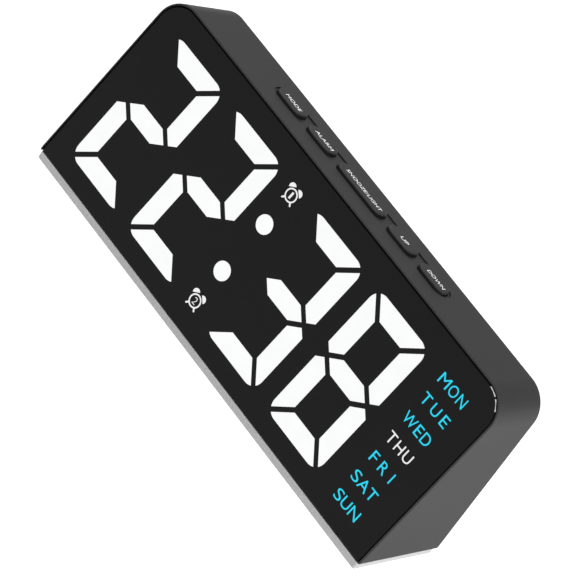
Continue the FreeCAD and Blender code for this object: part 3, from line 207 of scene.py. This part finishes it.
def makeBoardFinish(look):
    material, tree, shader, place = newMaterial("FR-4 laminate green mask")
    warp, weft = [addNode(tree, "ShaderNodeTexWave",
                          {"wave_type": "BANDS", "bands_direction": way, "Scale": perMetre(look["clothMm"]),
                           "Distortion": look["ripple"]}, {"Vector": place}) for way in ("X", "Z")]
    cloth = addNode(tree, "ShaderNodeMath", {"operation": "MULTIPLY"},
                    {0: warp.outputs["Fac"], 1: weft.outputs["Fac"]})
    tone = toneRamp(tree, cloth.outputs["Value"], [(0, look["dark"]), (1, look["light"])])
    cells = addNode(tree, "ShaderNodeTexVoronoi",
                    {"feature": "DISTANCE_TO_EDGE", "distance": "EUCLIDEAN",
                     "Scale": perMetre(look["trackMm"])}, {"Vector": place})
    track = addNode(tree, "ShaderNodeMapRange",
                    {"From Min": look["trackFrom"], "From Max": look["trackTo"],
                     "To Min": 1.0, "To Max": 0.0}, {"Value": cells.outputs["Distance"]}).outputs["Result"]
    mixed = addNode(tree, "ShaderNodeMix", {"data_type": "RGBA", "B": linear(look["track"])},
                    {"Factor": track, "A": tone})
    tree.links.new(mixed.outputs["Result"], shader.inputs["Base Color"])
    addBump(tree, shader, track, look["bump"], look["bumpMm"])
    shader.inputs["Roughness"].default_value = look["rough"]
    shader.inputs["Coat Weight"].default_value = look["lacquer"]
    return material


def makeGlow(name, look):
    # translucent polycarbonate lit from behind: even light, a touch dimmer between its lamps
    material, tree, shader, place = newMaterial(name)
    cloud = addNode(tree, "ShaderNodeTexNoise", {"Scale": perMetre(look["driftMm"]), "Detail": 1.0},
                    {"Vector": place})
    tone = toneRamp(tree, cloud.outputs["Fac"], [(0, look["dim"]), (1, look["bright"])])
    tree.links.new(tone, shader.inputs["Emission Color"])
    shader.inputs["Base Color"].default_value = linear(look["body"])
    shader.inputs["Emission Strength"].default_value = look["strength"]
    shader.inputs["Roughness"].default_value = 0.3
    shader.inputs["Specular IOR Level"].default_value = 0.2
    return material


boardLaminate = makeBoardFinish(board)
litGuide = makeGlow("PC light guide lit white", {
    "driftMm": 6, "dim": "#F7F8F9", "bright": "#FFFFFF", "strength": 0.97, "body": "#303030"})
litSign = makeGlow("PC window lit white", {
    "driftMm": 3, "dim": "#EEEEEE", "bright": "#FAFAFA", "strength": 0.95, "body": "#303030"})
cyanSign = makeGlow("PC window lit cyan", {
    "driftMm": 3, "dim": "#1ED4F0", "bright": "#28DEFA", "strength": 0.97, "body": "#0A2A30"})

# UV-cured pad-printing ink: opaque white, slightly raised; its emission is a painted glow that makes the
# legends brighter than the lamps alone light them
whiteInkPaintedGlow = finish("Pad printing ink white painted glow", {
    "dark": "#E8E8E8", "light": "#F8F8F8", "driftMm": 1.0, "grainMm": 0.1,
    "roughLow": 0.4, "roughHigh": 0.6, "bump": 0.2, "bumpMm": 0.01,
    "shader": {"IOR": 1.48, "Emission Color": (1, 1, 1, 1), "Emission Strength": 0.8}})

finishes = {
    "housing": charcoalAbs, "rear_cover": charcoalAbs, "cell_door": charcoalAbs,
    "front_panel": blackAcrylic, "base_pad": palePad, "colon_dots": litGuide,
    "diffuser_sheet": milkyFilm, "light_mask": whiteHips, "display_leds": whiteHips,
    "display_board": boardLaminate, "key_board": boardLaminate, "main_board": boardLaminate,
    "display_screws": nickelSteel, "key_board_screws": nickelSteel, "main_board_screws": nickelSteel,
    "cover_screws": oxideSteel, "cell_door_screw": oxideSteel, "coin_cell": nickelSteel,
    "cell_contact_outer": nickelSteel, "cell_contact_inner": nickelSteel, "usb_socket": nickelSteel,
    "speaker_frame": nickelSteel, "speaker_cone": paperCone, "tact_switches": blackNylon,
    "board_chips": epoxyChip, "crystal_can": nickelSteel, "pin_headers": whiteHips,
}
for name, node in nodes.items():
    if name.endswith("_key"):
        chosen = keyAbs
    elif name.endswith("_plunger"):
        chosen = blackNylon
    elif name.endswith("_lit_segments"):
        chosen = litGuide
    elif name.endswith("_dark_segments"):
        chosen = darkGuide
    else:
        chosen = finishes[name]
    node.data.materials.clear()
    node.data.materials.append(chosen)
print("materials on the packed nodes")


def planeOn(nodeNames, origin, leanDegrees, lift):
    # a frame whose z is the surface's normal, laid on the outermost point of those nodes
    lean = math.radians(leanDegrees)
    across = Vector((1, 0, 0))
    up = Vector((0, math.sin(lean), math.cos(lean)))
    out = across.cross(up)
    reach = max(v.co.dot(out) for n in nodeNames for v in nodes[n].data.vertices)
    corner = Vector(origin)
    corner += out * (reach + lift - corner.dot(out))
    matrix = Matrix((across, up, out)).transposed().to_4x4()
    matrix.translation = corner
    return matrix


# The face's lower edge and its lean, the top's front edge and its fall, and how far words stand off each
facePlane = {"lean": 12.8, "foot": (0, -21.353 * mm, 2.8 * mm), "lift": 0.03 * mm}
keyPlane = {"fall": 7.7, "edge": (0, -4.505 * mm, 76.96 * mm), "lift": 0.02 * mm}
onFace = planeOn(["front_panel"], facePlane["foot"], facePlane["lean"], facePlane["lift"])


# Words are set this large, extruded this far to either side, and then brought to their own size
setting = {"size": 1.0, "halfDepth": 0.5, "curveSteps": 6}
weldDistance = {"words": 0.0001 * mm, "packed": 0.001 * mm}


def letterBmesh(text, weight, thickness):
    # Blender's own plain font, set as one word and turned into a closed thin mesh
    curve = bpy.data.curves.new("letter", "FONT")
    curve.body = text
    curve.size = setting["size"]
    curve.offset = weight
    curve.extrude = setting["halfDepth"]
    curve.resolution_u = setting["curveSteps"]
    holder = bpy.data.objects.new("letter", curve)
    bpy.context.scene.collection.objects.link(holder)
    bpy.context.view_layer.update()
    mesh = bpy.data.meshes.new_from_object(holder.evaluated_get(bpy.context.evaluated_depsgraph_get()))
    result = bmesh.new()
    result.from_mesh(mesh)
    bpy.data.objects.remove(holder)
    bpy.data.curves.remove(curve)
    bpy.data.meshes.remove(mesh)
    bmesh.ops.scale(result, vec=(1, 1, thickness), verts=result.verts)
    return result


def fitted(text, weight, left, right, low, high, thickness):
    # the word stretched to exactly fill its measured rectangle
    word = letterBmesh(text, weight, thickness)
    xs = [v.co.x for v in word.verts]
    ys = [v.co.y for v in word.verts]
    wide, tall = max(xs) - min(xs), max(ys) - min(ys)
    bmesh.ops.translate(word, vec=(-min(xs), -min(ys), 0), verts=word.verts)
    bmesh.ops.scale(word, vec=((right - left) / wide, (high - low) / tall, 1), verts=word.verts)
    bmesh.ops.translate(word, vec=(left, low, 0), verts=word.verts)
    return word


def joinInto(target, piece):
    mesh = bpy.data.meshes.new("part")
    piece.to_mesh(mesh)
    piece.free()
    target.from_mesh(mesh)
    bpy.data.meshes.remove(mesh)


def settle(source, name, matrix, material, body):
    # cleans the mesh, lays it on its plane and lets it ride
    bmesh.ops.remove_doubles(source, verts=source.verts, dist=weldDistance["words"])
    bmesh.ops.recalc_face_normals(source, faces=source.faces)
    bmesh.ops.transform(source, matrix=matrix, verts=source.verts)
    mesh = bpy.data.meshes.new(name)
    source.to_mesh(mesh)
    source.free()
    mesh.materials.append(material)
    piece = bpy.data.objects.new(name, mesh)
    bpy.context.scene.collection.objects.link(piece)
    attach(piece, body)


# Outer pieces: their slot, and the degrees between two facets up to which they are one smooth surface
smoothed = {
    "front_panel": ("gloss_black", 30), "housing": ("charcoal_plastic", 30),
    "rear_cover": ("charcoal_plastic", 30), "cell_door": ("charcoal_plastic", 30),
    "base_pad": ("pale_rubber", 30), "mode_key": ("charcoal_plastic", 40),
    "alarm_key": ("charcoal_plastic", 40), "snooze_key": ("charcoal_plastic", 40),
    "up_key": ("charcoal_plastic", 40), "down_key": ("charcoal_plastic", 40),
}


def smoothCopy(name, degrees):
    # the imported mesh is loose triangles: the copy that stands for it is merged and shaded smooth
    source = nodes[name]
    shape = bmesh.new()
    shape.from_mesh(source.data)
    bmesh.ops.remove_doubles(shape, verts=shape.verts, dist=weldDistance["packed"])
    for edge in shape.edges:
        edge.smooth = edge.calc_face_angle(math.pi) < math.radians(degrees)
    for face in shape.faces:
        face.smooth = True
    mesh = bpy.data.meshes.new(name + "_surface")
    shape.to_mesh(mesh)
    shape.free()
    mesh.materials.append(source.data.materials[0])
    piece = bpy.data.objects.new(name + "_surface", mesh)
    bpy.context.scene.collection.objects.link(piece)
    even = piece.modifiers.new("flat faces stay flat", "WEIGHTED_NORMAL")
    even.keep_sharp = True
    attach(piece, name.removesuffix("_key") if name.endswith("_key") else "clock")
    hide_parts(name)


for name, (slot, degrees) in smoothed.items():
    smoothCopy(name, degrees)
print("smooth outer pieces")


# Weekday column: how far up the face the middle of each word is, then each letter's left and right edge
# from the middle of the face, all in mm
weekdays = {
    "capHeight": 4.12, "weight": -0.003, "thickness": 0.04, "lit": "THU",
    "rows": {
        "MON": (63.66, (71.13, 75.48), (76.33, 79.95), (80.93, 84.25)),
        "TUE": (54.73, (71.23, 74.7), (76.45, 79.87), (81.75, 84.53)),
        "WED": (45.76, (71.2, 76.67), (77.5, 80.13), (81.0, 84.53)),
        "THU": (36.88, (71.8, 75.25), (76.37, 79.63), (80.7, 84.1)),
        "FRI": (27.98, (72.5, 75.12), (77.23, 80.48), (83.27, 83.8)),
        "SAT": (18.95, (72.2, 75.38), (75.85, 80.2), (80.58, 84.22)),
        "SUN": (10.04, (72.33, 75.38), (76.0, 79.63), (80.43, 84.45)),
    },
}
cyanWords = bmesh.new()
whiteWord = bmesh.new()
for word, (level, *spans) in weekdays["rows"].items():
    half = weekdays["capHeight"] / 2
    for letter, (left, right) in zip(word, spans):
        glyph = fitted(letter, weekdays["weight"], left * mm, right * mm, (level - half) * mm,
                       (level + half) * mm, weekdays["thickness"] * mm)
        joinInto(whiteWord if word == weekdays["lit"] else cyanWords, glyph)
settle(cyanWords, "weekday_letters_cyan", onFace, cyanSign, "clock")
settle(whiteWord, "weekday_letters_white", onFace, litSign, "clock")
print("weekday column")


def disc(radius, facets):
    shape = bmesh.new()
    bmesh.ops.create_circle(shape, cap_ends=True, radius=radius, segments=facets)
    return shape


def stub(start, end, width, facets):
    # a round-ended bar between two points: the disc's right half is drawn out
    shape = disc(width / 2, facets)
    run = Vector(end) - Vector(start)
    turn = math.atan2(run.y, run.x)
    nearlyNothing = 1e-9
    for v in shape.verts:
        if v.co.x > nearlyNothing:
            v.co.x += run.length
    bmesh.ops.rotate(shape, cent=(0, 0, 0), matrix=Matrix.Rotation(turn, 3, "Z"), verts=shape.verts)
    bmesh.ops.translate(shape, vec=(start[0], start[1], 0), verts=shape.verts)
    return shape


def thicken(shape, thickness):
    # gives a flat outline its closed thickness
    made = bmesh.ops.extrude_face_region(shape, geom=shape.faces[:])
    moved = [g for g in made["geom"] if isinstance(g, bmesh.types.BMVert)]
    bmesh.ops.translate(shape, vec=(0, 0, thickness), verts=moved)
    return shape


# Alarm signs: a twin-bell clock round its alarm's number. Sizes are in mm and turns in degrees; a number
# has its sign's level up the face, its own width and its own height.
alarmSign = {
    "ringRadius": 2.58, "ringWidth": 0.52, "ringFacets": 64,
    "bellRadius": 1.45, "bellOut": 2.95, "bellTurn": 37, "bellFacets": 48,
    "footWidth": 0.66, "footFrom": 2.4, "footTo": 3.55, "footTurn": 39, "footFacets": 16,
    "numbers": {"1": (61.83, 0.8, 2.6), "2": (11.4, 1.55, 2.55)}, "weight": -0.012,
    "x": -12.55, "thickness": 0.04,
}


def makeAlarmSign(number, level, wide, tall):
    s = alarmSign
    deep = s["thickness"] * mm
    sign = bmesh.new()
    ring = bmesh.new()
    for radius in (s["ringRadius"], s["ringRadius"] - s["ringWidth"]):
        bmesh.ops.create_circle(ring, cap_ends=False, radius=radius * mm, segments=s["ringFacets"])
    bmesh.ops.bridge_loops(ring, edges=ring.edges[:])
    joinInto(sign, thicken(ring, deep))
    for side in (-1, 1):
        turn = math.radians(90 - side * s["bellTurn"])
        bell = disc(s["bellRadius"] * mm, s["bellFacets"])
        bmesh.ops.bisect_plane(bell, geom=bell.verts[:] + bell.edges[:] + bell.faces[:],
                               plane_co=(0, 0, 0), plane_no=(1, 0, 0), clear_inner=True)
        bmesh.ops.rotate(bell, cent=(0, 0, 0), matrix=Matrix.Rotation(turn, 3, "Z"), verts=bell.verts)
        out = Vector((math.cos(turn), math.sin(turn), 0)) * s["bellOut"] * mm
        bmesh.ops.translate(bell, vec=out, verts=bell.verts)
        joinInto(sign, thicken(bell, deep))
        foot = math.radians(-90 + side * s["footTurn"])
        way = Vector((math.cos(foot), math.sin(foot)))
        bar = stub(way * s["footFrom"] * mm, way * s["footTo"] * mm, s["footWidth"] * mm, s["footFacets"])
        joinInto(sign, thicken(bar, deep))
    joinInto(sign, fitted(number, s["weight"], -wide / 2 * mm, wide / 2 * mm,
                          -tall / 2 * mm, tall / 2 * mm, deep))
    place = onFace @ Matrix.Translation((s["x"] * mm, level * mm, 0))
    settle(sign, "alarm_sign_" + number, place, litSign, "clock")


for number, (level, wide, tall) in alarmSign["numbers"].items():
    makeAlarmSign(number, level, wide, tall)
print("alarm signs")

# Key legends: each word's middle, in mm from the middle of the housing, and its width
keyLegends = {
    "height": 1.8, "weight": -0.013, "thickness": 0.03, "back": 13.2,
    "words": {
        "mode": ("MODE", -41.6, 8.1), "alarm": ("ALARM", -23.6, 9.2),
        "snooze": ("SNOOZE/LIGHT", -0.4, 19.2), "up": ("UP", 22.9, 3.75), "down": ("DOWN", 40.8, 8.75),
    },
}
for body, (word, middle, width) in keyLegends["words"].items():
    # a key's top falls to the back, so its plane leans 90 degrees plus that fall
    plane = planeOn([body + "_key"], keyPlane["edge"], 90 + keyPlane["fall"], keyPlane["lift"])
    half = keyLegends["height"] / 2
    legend = fitted(word, keyLegends["weight"], (middle - width / 2) * mm, (middle + width / 2) * mm,
                    (keyLegends["back"] - half) * mm, (keyLegends["back"] + half) * mm,
                    keyLegends["thickness"] * mm)
    settle(legend, "legend_" + body, plane, whiteInkPaintedGlow, body)
print("key legends")


# Camera at the photograph's angle: its place in metres and the directions of its own axes
view = {
    "place": (0.58823, -1.07997, 0.77971), "lens": 269.07, "sensor": 36.0, "near": 0.01, "far": 50,
    "right": (0.56310227, 0.65403779, 0.50512415), "up": (-0.71903229, 0.08649101, 0.68957369),
    "back": (0.40731855, -0.75150108, 0.51897757),
}
camera = bpy.data.objects.new("Camera", bpy.data.cameras.new("Camera"))
bpy.context.scene.collection.objects.link(camera)
camera.data.lens = view["lens"]
camera.data.sensor_width = view["sensor"]
camera.data.clip_start = view["near"]
camera.data.clip_end = view["far"]
turn = Matrix((view["right"], view["up"], view["back"])).transposed().to_4x4()
camera.matrix_world = Matrix.Translation(view["place"]) @ turn
bpy.context.scene.camera = camera


# How bright the paper and the sky are: to the camera and through glass, in reflections, and as plain light
paper = {
    "half": 3.0, "drop": 0.1, "colour": "#D8D8D8", "rough": 0.9, "fibreMm": 1.2,
    "bump": 0.05, "bumpMm": 0.02, "seen": 0.9, "mirrored": 0.66, "plain": 0.34,
}
sky = {"seen": 1.0, "mirrored": 0.52, "plain": 0.12}


def rayLevel(tree, look):
    # one brightness for each of the three kinds of ray
    ray = addNode(tree, "ShaderNodeLightPath")
    mirrored = addNode(tree, "ShaderNodeMapRange", {"To Min": look["plain"], "To Max": look["mirrored"]},
                       {"Value": ray.outputs["Is Glossy Ray"]})
    seen = addNode(tree, "ShaderNodeMath", {"operation": "ADD", "use_clamp": True},
                   {0: ray.outputs["Is Camera Ray"], 1: ray.outputs["Is Transmission Ray"]})
    level = addNode(tree, "ShaderNodeMapRange", {"To Max": look["seen"]},
                    {"Value": seen.outputs["Value"], "To Min": mirrored.outputs["Result"]})
    return level.outputs["Result"]


def makeFloor(look):
    # pale studio paper, a hair under the pad
    shape = bmesh.new()
    bmesh.ops.create_grid(shape, x_segments=1, y_segments=1, size=look["half"])
    bmesh.ops.translate(shape, vec=(0, 0, -look["drop"] * mm), verts=shape.verts)
    mesh = bpy.data.meshes.new("studio_floor")
    shape.to_mesh(mesh)
    shape.free()
    floor = bpy.data.objects.new("studio_floor", mesh)
    bpy.context.scene.collection.objects.link(floor)
    material, tree, shader, place = newMaterial("Studio paper white")
    fibre = addNode(tree, "ShaderNodeTexNoise", {"Scale": perMetre(look["fibreMm"])}, {"Vector": place})
    addBump(tree, shader, fibre.outputs["Fac"], look["bump"], look["bumpMm"])
    shader.inputs["Base Color"].default_value = linear(look["colour"])
    shader.inputs["Roughness"].default_value = look["rough"]
    shader.inputs["Specular IOR Level"].default_value = 0.0
    shader.inputs["Emission Color"].default_value = (1, 1, 1, 1)
    tree.links.new(rayLevel(tree, look), shader.inputs["Emission Strength"])
    mesh.materials.append(material)


def makeWorld(look):
    # an even white room
    world = bpy.data.worlds.new("Studio")
    bpy.context.scene.world = world
    world.use_nodes = True
    tree = world.node_tree
    tree.nodes.clear()
    light = addNode(tree, "ShaderNodeBackground", {"Color": (1, 1, 1, 1)},
                    {"Strength": rayLevel(tree, look)})
    addNode(tree, "ShaderNodeOutputWorld", links={"Surface": light.outputs["Background"]})


def addLamp(name, middle, along, target, size, power):
    # an area lamp whose long side lies along a direction and that faces the target
    data = bpy.data.lights.new(name, "AREA")
    data.shape = "RECTANGLE"
    data.size, data.size_y = size
    data.energy = power
    lamp = bpy.data.objects.new(name, data)
    bpy.context.scene.collection.objects.link(lamp)
    back = (Vector(middle) - Vector(target)).normalized()
    side = (Vector(along) - back * Vector(along).dot(back)).normalized()
    lamp.matrix_world = Matrix((side, back.cross(side), back)).transposed().to_4x4()
    lamp.matrix_world.translation = middle


def glintLamp(name, look, first, last):
    # a strip that the panel's bevelled corner mirrors to the camera between two angles round the corner
    lean = math.radians(facePlane["lean"])
    up = Vector((0, math.sin(lean), math.cos(lean)))
    out = Vector((0, -math.cos(lean), math.sin(lean)))
    corner = Vector(look["corner"])
    toCamera = (camera.matrix_world.translation - corner).normalized()
    ends = []
    for degrees in (first, last):
        angle = math.radians(degrees)
        bevel = (out + Vector((math.cos(angle), 0, 0)) + up * math.sin(angle)).normalized()
        ends.append(corner + (2 * bevel.dot(toCamera) * bevel - toCamera) * look["distance"])
    addLamp(name, (ends[0] + ends[1]) / 2, ends[1] - ends[0], corner,
            ((ends[1] - ends[0]).length, look["width"]), look["power"])


# Softboxes: middle and size in metres, and power; their long sides run from front to back
lamps = {
    "softbox_right": ((1.5, 0.35, 0.12), (0.8, 0.3), 8.9),
    "softbox_top": ((-1.1, 0.5, 1.0), (0.8, 0.8), 4.7),
}
clockMiddle = (0, 0, 0.04)
for name, (middle, size, power) in lamps.items():
    addLamp(name, middle, (0, 1, 0), clockMiddle, size, power)

# Glint strips: the two angles round the panel's upper right corner between which each one shows
glint = {
    "corner": (0.0854, -0.0069, 0.0666), "distance": 1.2, "width": 0.028, "power": 2.8,
    "strips": {"strip_low": (32, 57), "strip_high": (62, 85)},
}
for name, (first, last) in glint["strips"].items():
    glintLamp(name, glint, first, last)
makeFloor(paper)
makeWorld(sky)
bpy.context.scene.view_settings.view_transform = "Standard"
print("camera, floor and lamps")
